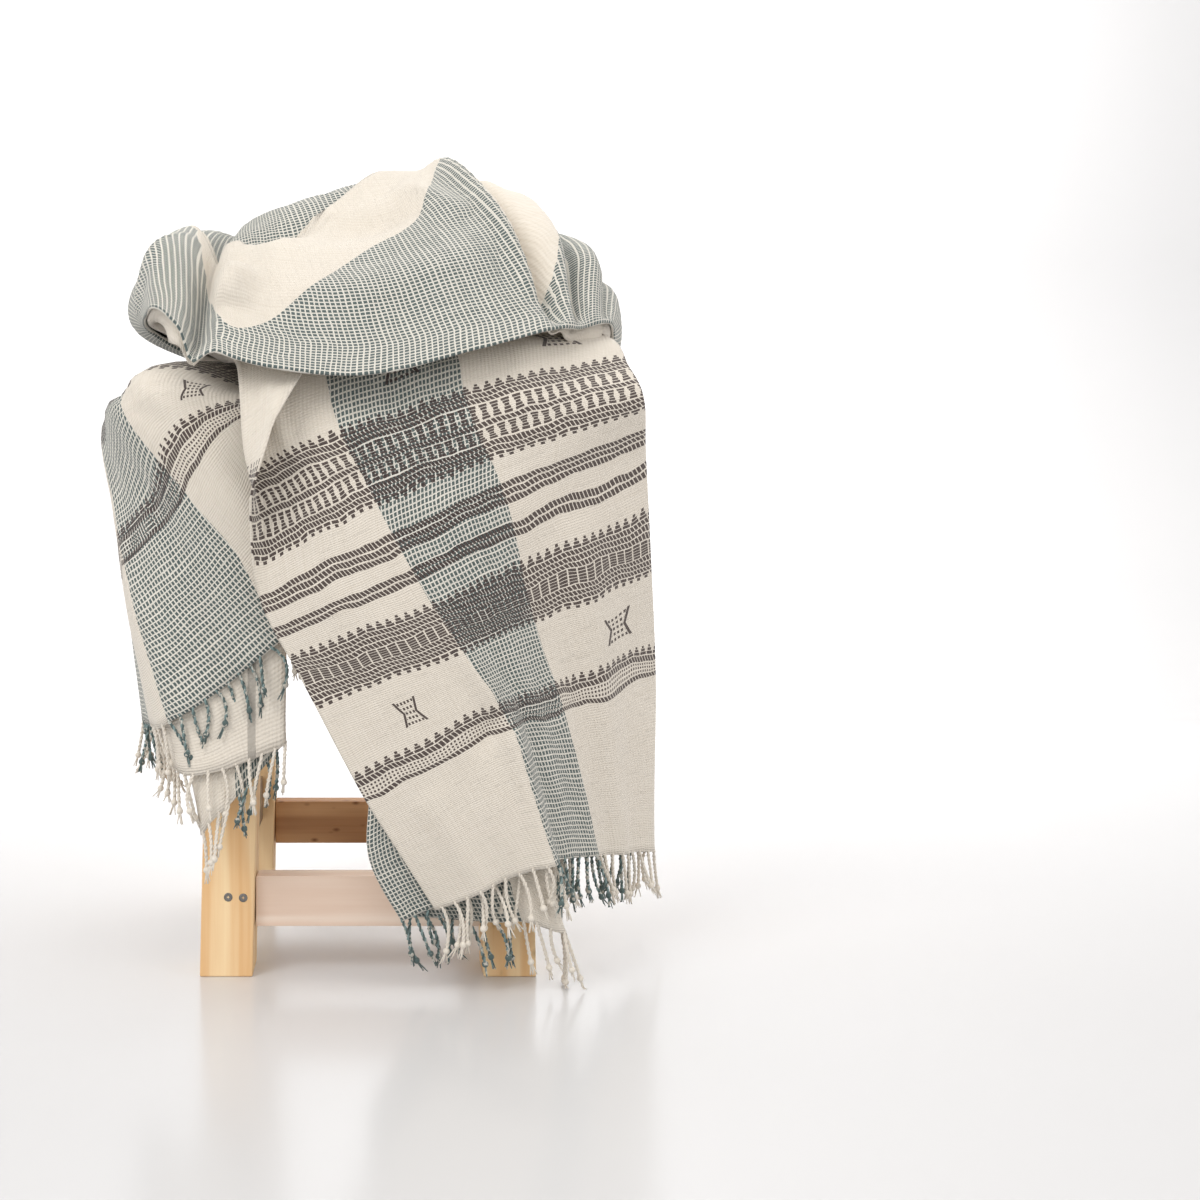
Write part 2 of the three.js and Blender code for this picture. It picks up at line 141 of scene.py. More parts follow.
COLUMNS = (
    "second_fold", "last_edge", "fold_drop", "edge_drop", "margin", "margin_turn", "length_at", "fold_at",
)
TABLE = {name: np.array([row[4 + i] for row in ROWS], float) for i, name in enumerate(COLUMNS)}
LAST_ROW = len(ROWS) - 1

# Where the far side of the last stripe lies at the front hem and on the bundle: row, and share of the width
STRIPE_SIDE = np.array([
    (0.0, 0.20), (2.0, 0.24), (4.0, 0.3),
    (9.5, 0.62), (10.5, 0.62), (11.2, 0.54), (11.5, 0.42), (11.66, 0.10), (11.8, 0.00), (12.2, 0.02),
    (12.6, 0.14), (13.0, 0.27), (13.5, 0.31), (13.75, 0.42), (13.95, 0.64), (14.2, 0.52), (14.5, 0.28),
    (15.0, 0.08), (15.3, 0.02), (15.6, 0.5), (16.2, 0.66), (17.2, 0.66), (18.0, 0.4), (19.0, 0.42),
])
# How far the borders lag at the fold's side, in millimetres: row and lag
BORDER_SLANT = np.array([
    (0, 0), (3, 0), (5, 28), (8, 28), (10, 0), (11.5, 0), (12.3, -120), (14.8, -120), (16, 0),
    (20, 0), (21, 60), (22, 150), (23, 170), (24, 90), (25, 0),
])
STRIPE_TAPS = np.linspace(-0.18, 0.18, 7)  # rows over which the stripe's side is smoothed
STRIPE_LIMITS = (0.03, 0.97)

# Places across the cloth of the second fold, and the rows where each holds
SECOND_FOLD = 620
ROLL_FOLD = 634
FRONT_FOLD = 668
ROLL_ROWS = (9, 19.5)
FRONT_END_ROW = 5
BEHIND_ROLL = 480  # place across the layer behind where the bundle's selvedge ends

# The layers lie closer together at the bundle's lip
LIP_PINCH = 0.7
LIP_SHARE = 0.25
LIP_ROWS = (8, 19.5)

# Creases placed one by one: from and to (row, share of the width), half width and height in millimetres.
# The height is outward on the drops and inward on the bundle.
CREASES = [
    (0.0, 0.36, 3.2, 0.36, 12, 8),
    (0.0, 0.47, 2.8, 0.46, 15, -7),
    (1.8, 0.24, 2.2, 0.42, 9, -7),
    (0.0, 0.80, 3.6, 0.80, 20, 8),
    (0.0, 0.62, 2.4, 0.64, 14, 5),
    (0.0, 0.12, 1.6, 0.10, 16, 4),
    (3.0, 0.10, 5.5, 0.30, 18, 3),
    (4.2, 0.55, 6.6, 0.50, 18, -3),
    (5.4, 0.20, 7.0, 0.10, 12, 4),
    (5.2, 0.75, 7.0, 0.80, 16, 3),
    (10.3, 0.10, 11.4, 0.36, 9, -6),
    (10.9, -0.10, 11.2, 0.55, 18, -10),
    (11.5, -0.25, 11.75, 0.65, 11, 30),
    (11.9, 0.08, 12.0, 0.20, 13, -18),
    (12.0, 0.30, 12.6, 0.42, 10, 14),
    (12.1, 0.46, 13.6, 0.66, 16, -12),
    (12.4, 0.34, 13.6, 0.40, 18, 12),
    (12.3, 0.12, 14.4, 0.18, 22, -9),
    (13.3, 0.50, 14.1, 0.30, 14, -8),
    (13.8, 0.70, 14.9, 0.06, 11, -12),
    (14.4, 0.70, 15.25, -0.04, 11, 24),
    (15.5, -0.05, 15.3, 0.60, 13, -8),
    (15.85, -0.03, 15.85, 0.60, 10, 16),
    (16.3, -0.05, 16.3, 0.60, 15, -7),
    (16.75, -0.03, 16.75, 0.60, 10, 9),
    (20.4, 0.10, 21.9, 0.36, 44, 34),
    (21.8, 0.20, 25.0, 0.30, 16, 4),
    (22.4, 0.48, 25.0, 0.46, 14, -4),
    (22.0, 0.66, 25.0, 0.62, 14, 5),
]
ROW_MM = 75  # a row's length and the strip's width, as the creases count them
WIDTH_MM = 350
SLACK_HIGH = 1.1
RIPPLE_HIGH = 0.35
HEM_WAVE_HIGH = 2.2
HEM_WAVE_ROWS = 0.5


# Cloth shape


def along(values, v):
    """A column of the table at places between its rows."""
    i = np.clip(np.floor(v).astype(int), 0, LAST_ROW - 1)
    a, b, c, d = (values[np.clip(i + k, 0, LAST_ROW)] for k in (-1, 0, 1, 2))
    x = (v - i).reshape((-1,) + (1,) * (values.ndim - 1))
    return b + 0.5 * x * (c - a + x * (2 * a - 5 * b + 4 * c - d + x * (3 * (b - c) + d - a)))


def across(guides, share):
    """A smooth curve through four guide points, going straight on past both ends."""
    slope = np.diff(guides, axis=1) / np.diff(GUIDE_SHARES)[None, :, None]
    between = (slope[:, :-1] + slope[:, 1:]) / 2
    lean = np.concatenate([slope[:, :1], between, slope[:, -1:]], axis=1)
    inside = np.clip(share, 0, 1)
    i = np.clip(np.searchsorted(GUIDE_SHARES, inside, side="right") - 1, 0, 2)
    span = (GUIDE_SHARES[i + 1] - GUIDE_SHARES[i])[..., None]
    x = ((inside - GUIDE_SHARES[i])[..., None]) / span
    rows = np.arange(len(guides))[:, None]
    start, end = guides[rows, i], guides[rows, i + 1]
    bend = x * (1 - x) * span * ((1 - x) * lean[rows, i] - x * lean[rows, i + 1])
    curve = start + x * x * (3 - 2 * x) * (end - start) + bend
    past = np.where(share < 0, 0, 3)
    return curve + (share - inside)[..., None] * lean[rows, past]


def top_layer(v, share):
    """Points of the strip's first layer in millimetres, from the stool's middle."""
    return across(along(GUIDES, v), share)


def unit(vectors):
    return vectors / np.maximum(np.linalg.norm(vectors, axis=-1, keepdims=True), 1e-9)


def top_normal(v, share):
    small = 0.02
    side = top_layer(v, share + small) - top_layer(v, share - small)
    up = top_layer(v + small, share) - top_layer(v - small, share)
    return unit(np.cross(side, up))


def towards_hem(v, share):
    """The way along the strip to the nearer end."""
    small = 0.05
    inside = np.clip(v, small, LAST_ROW - small)
    step = np.where(v < len(ROWS) / 2, -small, small)
    return unit(top_layer(inside + step, share) - top_layer(inside, share))


def crease_height(v, share):
    """Soft troughs and ridges, and a little slackness, in millimetres."""
    height = np.zeros_like(share)
    y = v[:, None] * ROW_MM + 0 * share
    x = share * WIDTH_MM
    for row_a, share_a, row_b, share_b, half, high in CREASES:
        start = np.array([share_a * WIDTH_MM, row_a * ROW_MM])
        line = np.array([share_b * WIDTH_MM, row_b * ROW_MM]) - start
        t = np.clip(((x - start[0]) * line[0] + (y - start[1]) * line[1]) / (line @ line), 0, 1)
        away = np.hypot(x - start[0] - t * line[0], y - start[1] - t * line[1])
        fade = np.where((t > 0) & (t < 1), np.sin(np.pi * t) ** 0.5, 0)
        if row_a <= 0:
            fade = np.where(t <= 0.5, 1, fade)
        elif row_b >= LAST_ROW:
            fade = np.where(t >= 0.5, 1, fade)
        height += high * fade * np.exp(-((away / half) ** 2))
    # Waves some tens of millimetres long, each bent by another
    slack = np.sin(x / 31 + 1.3 * np.sin(y / 83)) * np.sin(y / 57 + 0.9 * np.sin(x / 47 + 2.0))
    ripple = np.sin(x / 13.5 + 2 * np.sin(y / 40)) * np.sin(y / 90 + 1.0)
    hem = np.minimum(v, LAST_ROW - v)[:, None]
    hem_wave = np.exp(-hem / HEM_WAVE_ROWS) * np.sin(x / 17 + 0.6)
    return height + SLACK_HIGH * slack + RIPPLE_HIGH * ripple + HEM_WAVE_HIGH * hem_wave


def rows_between(v, start, end):
    """1 between two rows, falling to 0 over the last row at each end."""
    return np.clip(np.minimum(v - start, end - v), 0, 1)[:, None]


def kinked(t, knee, start, middle, end):
    """Places from start to end that reach middle where t reaches knee."""
    before = start + t / knee * (middle - start)
    after = middle + (t - knee) / (1 - knee) * (end - middle)
    return np.where(t < knee, before, after)


# Each part of the section gives shares of the width, depths, drops and places across the cloth


def turned_margin(column, width):
    margin, turn = column["margin"], np.radians(column["margin_turn"])
    bend = np.minimum(MARGIN_BEND, margin / 2) / 2
    steps = np.linspace(0, 1, MARGIN_STEPS + 1)[None, 1:]
    far = np.hstack([bend * steps, bend + (margin - bend) * steps])[:, ::-1]
    swing = np.hstack([turn * steps, turn + 0 * steps])[:, ::-1]
    out = FOLD_RADIUS * np.sin(swing) + far * np.cos(swing)
    lift = -FOLD_RADIUS * (1 - np.cos(swing)) - far * np.sin(swing)
    return -out / width, lift, 0 * far, margin - far


def outer_layer(column, width):
    zero = 0 * width
    share = np.linspace(0, 1, OUTER_STEPS + 1)[None, :] + zero
    near, far = STRIPES[0]
    marks = np.hstack([column["margin"], near + zero, far + zero, column["fold_at"] - HALF_TURN])
    place = np.stack([np.interp(s, GUIDE_SHARES, m) for s, m in zip(share, marks)])
    return share, 0 * share, 0 * share, place


def middle_layer(column, second_at, on_roll):
    t = np.linspace(0, 1, MIDDLE_STEPS + 1)[None, :]
    second, last = column["second_fold"], column["last_edge"]
    start, end = column["fold_at"] + HALF_TURN, second_at - HALF_TURN
    even = start + t * (end - start)
    drawn = kinked(t, (1 - last) / (1 - second), start, BEHIND_ROLL, end)
    share = 1 + t * (second - 1)
    return share, LAYER_GAP + 0 * share, t * column["fold_drop"], even + on_roll * (drawn - even)


def inner_layer(v, column, second_at, twisted):
    t = np.linspace(0, 1, INNER_STEPS + 1)[None, :]
    second, last = column["second_fold"], column["last_edge"]
    start = second_at + HALF_TURN
    even = start + t * (CLOTH_WIDE - start)
    stripe = np.mean([np.interp(v + tap, *STRIPE_SIDE.T) for tap in STRIPE_TAPS], axis=0)[:, None]
    knee = np.clip((stripe - second) / (last - second), *STRIPE_LIMITS)
    drawn = kinked(t, knee, start, STRIPES[2][1], CLOTH_WIDE)
    share = second + t * (last - second)
    drop = column["fold_drop"] + t * column["edge_drop"]
    return share, 2 * LAYER_GAP + 0 * share, drop, even + twisted * (drawn - even)


def lengthwise_fold(width, centre, way, depth, drop, at):
    """The turn from one layer to the next; way is 1 past the far edge and -1 past the near edge."""
    swing = way * FOLD_RADIUS / width * np.sin(FOLD_ANGLES)
    deep = depth + FOLD_RADIUS * (1 - np.cos(FOLD_ANGLES)) + 0 * width
    return centre + swing, deep, drop + 0 * deep, at + FOLD_RADIUS * (FOLD_ANGLES - math.pi / 2)


def section(v):
    """The folded section at each place along the strip, with places along the cloth as well."""
    column = {name: along(values, v)[:, None] for name, values in TABLE.items()}
    near, far = (top_layer(v, np.full((len(v), 1), share)) for share in (0.0, 1.0))
    width = np.linalg.norm(far - near, axis=-1)
    on_roll = rows_between(v, *ROLL_ROWS)
    at_front = np.clip(FRONT_END_ROW - v, 0, 1)[:, None]
    second_at = SECOND_FOLD + on_roll * (ROLL_FOLD - SECOND_FOLD) + at_front * (FRONT_FOLD - SECOND_FOLD)
    parts = [
        turned_margin(column, width),
        outer_layer(column, width),
        lengthwise_fold(width, 1, 1, 0, 0, column["fold_at"]),
        middle_layer(column, second_at, on_roll),
        lengthwise_fold(width, column["second_fold"], -1, LAYER_GAP, column["fold_drop"], second_at),
        inner_layer(v, column, second_at, np.maximum(on_roll, at_front)),
    ]
    share, depth, drop, place = (np.hstack([part[k] for part in parts]) for k in range(4))
    pinch = 1 - LIP_PINCH * rows_between(v, *LIP_ROWS) * np.clip(1 - share / LIP_SHARE, 0, 1)
    depth = np.where(depth > 0, depth * pinch, depth)
    lag = np.interp(v, *BORDER_SLANT.T)[:, None]
    pivot = np.where(v < BUNDLE_ROWS[1], 0, GUIDE_SHARES[1])[:, None]
    return share, depth, drop, place, column["length_at"] - lag * (np.clip(share, 0, 1) - pivot)


def walked_across(points):
    """Distance across the cloth, counted again from the first edge and from the middle of each fold."""
    walked = np.cumsum(np.linalg.norm(np.diff(points, axis=1, prepend=points[:, :1]), axis=-1), axis=1)
    fold = len(FOLD_ANGLES)
    starts = np.cumsum([2 * MARGIN_STEPS, OUTER_STEPS + 1 + fold // 2, MIDDLE_STEPS + 1 + fold])
    layer = np.searchsorted(starts[1:] - HIDDEN_COLUMNS, np.arange(walked.shape[1]), side="right")
    return walked - walked[:, starts[layer]]


def cloth_grid():
    """Points of the cloth's middle surface in metres, and their places across and along the flat cloth."""
    first, last = BUNDLE_ROWS
    before = np.arange(first * ROW_STEPS) / ROW_STEPS
    bundle = first + np.arange((last - first) * BUNDLE_STEPS) / BUNDLE_STEPS
    after = np.linspace(last, LAST_ROW, (LAST_ROW - last) * ROW_STEPS + 1)
    v = np.concatenate([before, bundle, after])
    share, depth, drop, place, length = section(v)
    lifted = (crease_height(v, share) - depth)[..., None]
    points = top_layer(v, share) + lifted * top_normal(v, share) + drop[..., None] * towards_hem(v, share)
    return points * MM + STOOL_MIDDLE, place, length, walked_across(points)


def mesh_object(name, points, faces, **uv_maps):
    """A smooth mesh piece; each UV map holds one pair for each point."""
    mesh = bpy.data.meshes.new(name)
    mesh.from_pydata([tuple(p) for p in points], [], [tuple(f) for f in faces])
    loop_points = np.zeros(len(mesh.loops), np.int32)
    mesh.loops.foreach_get("vertex_index", loop_points)
    for map_name, uvs in uv_maps.items():
        layer = mesh.uv_layers.new(name=map_name)
        layer.data.foreach_set("uv", np.asarray(uvs, np.float32)[loop_points].ravel())
    mesh.polygons.foreach_set("use_smooth", np.ones(len(mesh.polygons), bool))
    mesh.update()
    piece = bpy.data.objects.new(name, mesh)
    bpy.context.scene.collection.objects.link(piece)
    return piece


def grid_faces(rows, columns):
    i, j = np.meshgrid(np.arange(rows - 1), np.arange(columns - 1), indexing="ij")
    a = (i * columns + j).ravel()
    return np.stack([a, a + 1, a + columns + 1, a + columns], 1)


def build_cloth(material):
    points, place, length, walked = cloth_grid()
    weave = np.stack([place.ravel(), length.ravel()], 1) * MM
    threads = np.stack([walked.ravel(), length.ravel()], 1) * MM
    faces = grid_faces(*place.shape)
    cloth = mesh_object("throw_cloth", points.reshape(-1, 3), faces, weave=weave, threads=threads)
    cloth.data.materials.append(material)
    thick = cloth.modifiers.new("thickness", "SOLIDIFY")
    thick.thickness = CLOTH_THICK * MM
    thick.offset = 0
    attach(cloth, "root")
    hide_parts("throw")
    return cloth, points, place


# Shader maths


class Num:
    """A number in a material's node tree, with ordinary arithmetic."""

    def __init__(self, graph, socket):
        self.graph, self.socket = graph, socket

    def __add__(self, other):
        return self.graph.math("ADD", self, other)

    def __radd__(self, other):
        return self.graph.math("ADD", other, self)

    def __sub__(self, other):
        return self.graph.math("SUBTRACT", self, other)

    def __rsub__(self, other):
        return self.graph.math("SUBTRACT", other, self)

    def __mul__(self, other):
        return self.graph.math("MULTIPLY", self, other)

    def __truediv__(self, other):
        return self.graph.math("DIVIDE", self, other)

    def under(self, other):
        return self.graph.math("LESS_THAN", self, other)

    def over(self, other):
        return self.graph.math("GREATER_THAN", self, other)

    def most(self, other):
        return self.graph.math("MAXIMUM", self, other)

    def least(self, other):
        return self.graph.math("MINIMUM", self, other)

    def size(self):
        return self.graph.math("ABSOLUTE", self, 0.0)

    def part(self):
        return self.graph.math("FRACT", self, 0.0)

    def floor(self):
        return self.graph.math("FLOOR", self, 0.0)

    def sine(self):
        return self.graph.math("SINE", self, 0.0)

    def between(self, low, high):
        return self.over(low) * self.under(high)


class Graph:
    """A material with a Principled shader and short calls for its nodes."""

    def __init__(self, name, **sockets):
        self.material = bpy.data.materials.new(name)
        self.material.use_nodes = True
        self.tree = self.material.node_tree
        self.shader = self.tree.nodes["Principled BSDF"]
        for socket, value in sockets.items():
            self.shader.inputs[socket.replace("_", " ")].default_value = value

    def link(self, value, socket):
        if isinstance(value, Num):
            value = value.socket
        if isinstance(value, bpy.types.NodeSocket):
            self.tree.links.new(value, socket)
        else:
            socket.default_value = value

    def math(self, operation, a, b):
        node = self.tree.nodes.new("ShaderNodeMath")
        node.operation = operation
        self.link(a, node.inputs[0])
        self.link(b, node.inputs[1])
        return Num(self, node.outputs[0])

    def uv(self, name="weave"):
        """The two places that a UV map holds, in millimetres."""
        source = self.tree.nodes.new("ShaderNodeUVMap")
        source.uv_map = name
        split = self.tree.nodes.new("ShaderNodeSeparateXYZ")
        self.tree.links.new(source.outputs["UV"], split.inputs[0])
        return Num(self, split.outputs["X"]) * (1 / MM), Num(self, split.outputs["Y"]) * (1 / MM)

    def vector(self, x, y, z=0.0):
        node = self.tree.nodes.new("ShaderNodeCombineXYZ")
        for value, socket in zip((x, y, z), node.inputs):
            self.link(value, socket)
        return node.outputs[0]

    def place(self):
        """The point on the piece in metres, in its own frame."""
        source = self.tree.nodes.new("ShaderNodeTexCoord")
        split = self.tree.nodes.new("ShaderNodeSeparateXYZ")
        self.tree.links.new(source.outputs["Object"], split.inputs[0])
        return [Num(self, split.outputs[axis]) for axis in "XYZ"]

    def noise(self, vector, scale=1.0, detail=2.0, rough=0.5):
        node = self.tree.nodes.new("ShaderNodeTexNoise")
        self.link(vector, node.inputs["Vector"])
        node.inputs["Scale"].default_value = scale
        node.inputs["Detail"].default_value = detail
        node.inputs["Roughness"].default_value = rough
        return Num(self, node.outputs["Fac"])

    def mix(self, share, a, b):
        """Colour a, or b where share is 1; the node's colour sockets are known by number only."""
        node = self.tree.nodes.new("ShaderNodeMix")
        node.data_type = "RGBA"
        self.link(share, node.inputs["Factor"])
        self.link(a, node.inputs[6])
        self.link(b, node.inputs[7])
        return node.outputs[2]

    def bump(self, height, depth_mm, strength=1.0):
        node = self.tree.nodes.new("ShaderNodeBump")
        node.inputs["Strength"].default_value = strength
        node.inputs["Distance"].default_value = depth_mm * MM
        self.link(height, node.inputs["Height"])
        self.tree.links.new(node.outputs[0], self.shader.inputs["Normal"])

    def colour(self, value):
        self.link(value, self.shader.inputs["Base Color"])

    def roughness(self, value):
        self.link(value, self.shader.inputs["Roughness"])


def srgb(red, green, blue):
    """A colour from its 0 to 255 values."""
    def linear(value):
        share = value / 255
        return share / 12.92 if share <= 0.04045 else ((share + 0.055) / 1.055) ** 2.4
    return (linear(red), linear(green), linear(blue), 1.0)


WOOL = {"Sheen_Weight": 0.25, "Sheen_Roughness": 0.6, "Specular_IOR_Level": 0.15}
CREAM = srgb(227, 221, 212)
CREAM_DEEP = srgb(208, 199, 185)
SLATE = srgb(78, 94, 93)
SLATE_DEEP = srgb(56, 71, 72)
BROWN = srgb(66, 50, 48)
BROWN_DEEP = srgb(46, 34, 33)
FRINGE_BLUE = srgb(122, 143, 143)
FIRST_PLY = 0.1  # only the first ply of a strand, counted 0, is the paler blue
PALE_BLUE = srgb(198, 206, 204)

# The woven borders: distance from the hem where each line of pattern starts and ends,
# in millimetres, and its kind
BORDER = [
    (119, 123, "rope"), (123.5, 132.5, "dots"), (133, 138, "rope"), (138.5, 146, "triangles"),
    (203, 209, "teeth"), (209.5, 213.5, "rope"), (214, 218, "rope"), (218.5, 222.5, "rope"),
    (223, 234, "blocks"), (234.5, 238.5, "rope"), (239, 243, "rope"), (243.5, 247.5, "rope"),
    (248, 255.5, "triangles"),
    (273, 278, "rope"), (279, 284, "rope"),
    (298, 303, "rope"), (304, 309, "rope"), (310, 315, "rope"),
    (336, 342, "teeth"), (342.5, 347, "rope"), (347.5, 352, "rope"), (353, 365, "ladder"),
    (366, 370.5, "rope"), (371.5, 384, "ladder"), (385, 389.5, "rope"), (390, 394.5, "rope"),
    (395, 402.5, "triangles"),
]
ROPE_PITCH = 3.5
ROPE_LEAN = 2.2
DOT_PITCH = 3.0
BLOCK_PITCH = 8.2
# Motifs: distance from the hem, spacing across the cloth, and the place across where the row begins
MOTIF_ROWS = [(172, 242, 0), (434, 121, 100)]
MOTIF_START = 62
MOTIF = 24
NEAR_SLACK = 0.4  # how much the cloth is spread before the first stripe, and drawn in after it
FAR_SLACK = 0.22
WARP_PITCH = 3.3  # dashes of a stripe, across the cloth
WEFT_PITCH = 4.0  # pale lines of a stripe, along the cloth
GROUND_PITCH = 1.75  # weft lines of the plain ground
DASH_SHARE = 0.68
LINE_SHARE = 0.28
# How far the weave wanders from straight lines, in millimetres
WANDER_ACROSS = 5
WANDER_ALONG = 7
WANDER_BORDER = 12
WANDER_STRIPE = 4
# How fully each colour covers the ground
STRIPE_WASH = 0.3
STRIPE_COVER = 0.96
BORDER_COVER = 0.94
# Marks to a metre of yarn
FIBRES = 900
FLECKS = 260


def border_line(kind, u, y):
    """One line of a border; y runs from 0 on the hem's side to 1."""
    if kind == "rope":
        return ((u + y * ROPE_LEAN) / ROPE_PITCH).part().under(0.76) * y.between(0.03, 0.95)
    if kind == "dots":
        return (u / DOT_PITCH).part().under(0.5) * (y * 3).part().between(0.2, 0.75)
    # How many strokes, and each one's share of a block's width
    strokes, wide = {
        "triangles": (3, lambda step: 1.0 - step * 0.85),
        "teeth": (2, lambda step: 0.2 + step * 0.8),
        "ladder": (5, lambda step: 0.42 + (step - 0.5).size() * 0.75),
        "blocks": (5, lambda step: 0.84),
    }[kind]
    step = ((y * strokes).floor() + 0.5) / strokes
    across_block = ((u / BLOCK_PITCH).part() - 0.5).size() * 2
    return across_block.under(wide(step)) * (y * strokes).part().between(0.06, 0.86)


def border_mask(u, d):
    """1 on the brown lines and motifs of both borders."""
    mask = None
    for start, end, kind in BORDER:
        line = d.between(start, end) * border_line(kind, u, (d - start) / (end - start))
        mask = line if mask is None else mask.most(line)
    for at, spacing, first in MOTIF_ROWS:
        slack = 1 + u.under(STRIPES[0][0]) * NEAR_SLACK - u.over(STRIPES[0][1]) * FAR_SLACK
        x = (((u - MOTIF_START) / spacing + 0.5).part() - 0.5) * (spacing / MOTIF) * slack
        y = (d - at) / MOTIF
        waist = y.size() * 0.4 + 0.28
        side = (x.size() - waist).size().under(0.05)
        rows = (y * 5 + 0.5).part().between(0.2, 0.7)
        dots = (x * 6.2 + 0.25).part().under(0.55) * rows * x.size().under(waist - 0.07)
        mask = mask.most(side.most(dots) * y.size().under(0.5) * u.over(first))
    return mask


def stripe_mask(u, edge):
    """1 on the lengthwise stripes, with their sides moved by edge."""
    mask = None
    for start, end in STRIPES:
        stripe = (u + edge).between(start, end)
        mask = stripe if mask is None else mask + stripe
    return mask


def cloth_material():
    g = Graph("handwoven_wool", **WOOL)
    # u and s run across and along the flat cloth, and d runs from the nearer hem
    u, s = g.uv()
    thread_at, _ = g.uv("threads")
    d = s.least(CLOTH_LONG - s)
    wander = g.noise(g.vector(u * 0.004, s * 0.004), scale=6.0) - 0.5
    thread = g.noise(g.vector(thread_at * 0.55, s * 0.02))
    pick = g.noise(g.vector(u * 0.02, s * 0.6))
    slub = g.noise(g.vector(u * 0.03, s * 0.35), detail=1.0).over(0.68)
    # The same places, bent a little as in handwork
    bent_u = u + wander * WANDER_ACROSS
    bent_thread = thread_at + wander * WANDER_ACROSS
    bent_s = s + wander * WANDER_ALONG
    bent_d = d + wander * WANDER_BORDER
    # Plain ground
    warp = (bent_thread * (2 * math.pi / WARP_PITCH)).sine()
    weft = (bent_s * (2 * math.pi / GROUND_PITCH)).sine()
    ground = g.mix((thread * 0.6 + pick * 0.6) - 0.1, CREAM, CREAM_DEEP)
    ground = g.mix((weft * 0.5 + 0.5) * 0.22 + (warp * 0.5 + 0.5) * 0.12, ground, CREAM_DEEP)
    # Stripes of dashes
    dash = (bent_thread / WARP_PITCH).part().under(DASH_SHARE + (thread - 0.5) * 0.3)
    line = (bent_s / WEFT_PITCH).part().over(LINE_SHARE + (pick - 0.5) * 0.4)
    blue = g.mix(thread, SLATE, SLATE_DEEP)
    stripes = stripe_mask(u, wander * WANDER_STRIPE)
    washed = g.mix(stripes * STRIPE_WASH, ground, PALE_BLUE)
    colour = g.mix(stripes * dash * line * STRIPE_COVER, washed, blue)
    # Borders and motifs
    figure = border_mask(bent_u, bent_d)
    dark = g.mix(pick, BROWN, BROWN_DEEP)
    colour = g.mix(figure * BORDER_COVER, colour, dark)
    g.colour(colour)
    g.roughness(0.9 - slub * 0.1)
    height = warp * 0.25 + weft * 0.35 + slub * 0.8 + figure * 0.9 + thread * 0.5
    g.bump(height, depth_mm=0.55, strength=0.8)
    return g.material


def yarn_material():
    g = Graph("fringe_yarn", **WOOL)
    u, ply = g.uv()
    x, y, z = g.place()
    fibre = g.noise(g.vector(x * FIBRES, y * FIBRES, z * FIBRES))
    pale = g.mix(fibre, CREAM, CREAM_DEEP)
    blue = g.mix(ply.over(FIRST_PLY).most(fibre * 0.5 - 0.1), FRINGE_BLUE, SLATE)
    fleck = g.noise(g.vector(x * FLECKS, y * FLECKS, z * FLECKS), detail=1.0).over(0.58)
    g.colour(g.mix(stripe_mask(u, 0.0) * (1 - fleck * 0.6), pale, blue))
    g.roughness(0.85 + fibre * 0.1)
    g.bump(fibre, depth_mm=0.3)
    return g.material


# Fringe

# Strands, in millimetres
STRAND_PITCH = 11.5
STRAND_LENGTH = 45
LENGTH_RANGE = (0.86, 1.12)
STRAND_STEP = 2.5
ROOT_INSIDE = 2.0
SWAY = 0.03
SAG = 0.10
LOWER_BEND = 0.3  # share of sway and sag in a strand's lower half
FLOOR_CLEAR = 2.2
FLOOR_SLIDE = 0.4  # how a strand on the floor turns to the front
BOW = 4.0
PAIRING = (-1.5, 4.5)  # how far the ends of neighbours lean together
# The two plies of a strand
PLY_RADIUS = 1.0
PLY_OFFSET = 0.85
PLY_SIDES = 5
TWIST_PITCH = 8.0
TWIST_START = 6  # radians
# The knot, and the loose tails under it
KNOT_AT = 0.8
KNOT_RADIUS = 2.7
KNOT_RINGS = np.linspace(-1, 1, 7)
KNOT_END = 0.95
KNOT_SIDES = 8
KNOT_PLY = 0.3
TAILS = 4
TAIL_SPREAD = 1.8
TAIL_RADII = (0.8, 0.4)
TAIL_SIDES = 4
TAIL_CLEAR = FLOOR_CLEAR - 0.4
FRONT_SEED = 5
LEFT_SEED = 8


def path_frame(path, side):
    """The way ahead and two directions square to it, at each point of a path."""
    ahead = unit(np.gradient(path, axis=0))
    x = unit(side - (ahead @ side)[:, None] * ahead)
    return ahead, x, np.cross(ahead, x)


def ring_faces(rings, sides, first=0):
    """Faces between rings of points that follow each other."""
    faces = []
    for i in range(rings - 1):
        for k in range(sides):
            a, b = first + i * sides + k, first + i * sides + (k + 1) % sides
            faces.append((a, b, b + sides, a + sides))
    return faces


class Tubes:
    """Closed tubes gathered for one mesh, each with one UV pair."""

    def __init__(self):
        self.points, self.faces, self.uvs = [], [], []

    def add(self, path, radius, sides, side, uv):
        first = len(self.points)
        _, x, y = path_frame(path, side)
        radius = np.broadcast_to(radius, len(path))
        for i in range(len(path)):
            for k in range(sides):
                a = 2 * math.pi * k / sides
                self.points.append(path[i] + radius[i] * (math.cos(a) * x[i] + math.sin(a) * y[i]))
        self.faces += ring_faces(len(path), sides, first)
        self.faces.append(tuple(first + k for k in reversed(range(sides))))
        self.faces.append(tuple(first + (len(path) - 1) * sides + k for k in range(sides)))
        self.uvs += [uv] * (len(path) * sides)


